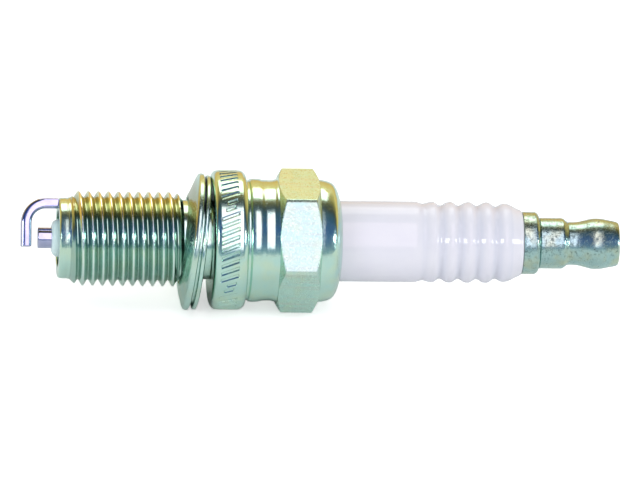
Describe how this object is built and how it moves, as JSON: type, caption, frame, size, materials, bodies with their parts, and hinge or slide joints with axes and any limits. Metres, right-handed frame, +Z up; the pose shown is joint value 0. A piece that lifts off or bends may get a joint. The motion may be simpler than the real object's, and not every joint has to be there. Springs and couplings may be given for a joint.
{
  "type": "spark plug",
  "caption": "Motorcycle spark plug with a metric threaded steel shell, loose captive gasket, ribbed glazed insulator, bent ground electrode and screw-on terminal nut.",
  "frame": {"origin": "on the supporting surface, under the middle of the plug's length and under its axis", "axes": "+X along the plug's axis from the ground electrode to the terminal, +Y towards the back of the plug as it lies, where the ground electrode is welded on 60 degrees up from +Y, and +Z up out of a flat of the hexagon"},
  "size_m": [0.0748, 0.018, 0.0175],
  "materials": {
    "plated_steel": "bright plated",
    "gasket_steel": "bright plated, folded sheet",
    "nickel_alloy": "polished",
    "copper": "drawn",
    "glazed_alumina": "glossy glaze",
    "terminal_steel": "turned, plated",
    "glass_seal": "fired metal-filled glass",
    "resistor_mix": "fired carbon and glass",
    "talc": "pressed powder",
    "packing_steel": "bare"
  },
  "bodies": {
    "plug": {"shell": "plated_steel", "ground_electrode": "nickel_alloy", "insulator": "glazed_alumina", "center_electrode_sheath": "nickel_alloy", "center_electrode_core": "copper", "lower_glass_seal": "glass_seal", "resistor": "resistor_mix", "upper_glass_seal": "glass_seal", "terminal_stud": "terminal_steel", "seat_packing": "packing_steel", "lower_packing_ring": "packing_steel", "talc_seal": "talc", "upper_packing_ring": "packing_steel"},
    "gasket": {"gasket": "gasket_steel"},
    "terminal_nut": {"terminal_nut": "terminal_steel"}
  },
  "joints": [
    {"name": "gasket_tilt", "type": "hinge", "parent": "plug", "child": "gasket", "pos_m": [-0.01384, 0.00384, 0.01535], "axis": [0, -0.866, 0.5], "range_deg": [0, 5.6]},
    {"name": "terminal_nut_unscrew", "type": "slide", "parent": "plug", "child": "terminal_nut", "axis": [1, 0, 0], "range_m": [0, 0.0095]}
  ]
}
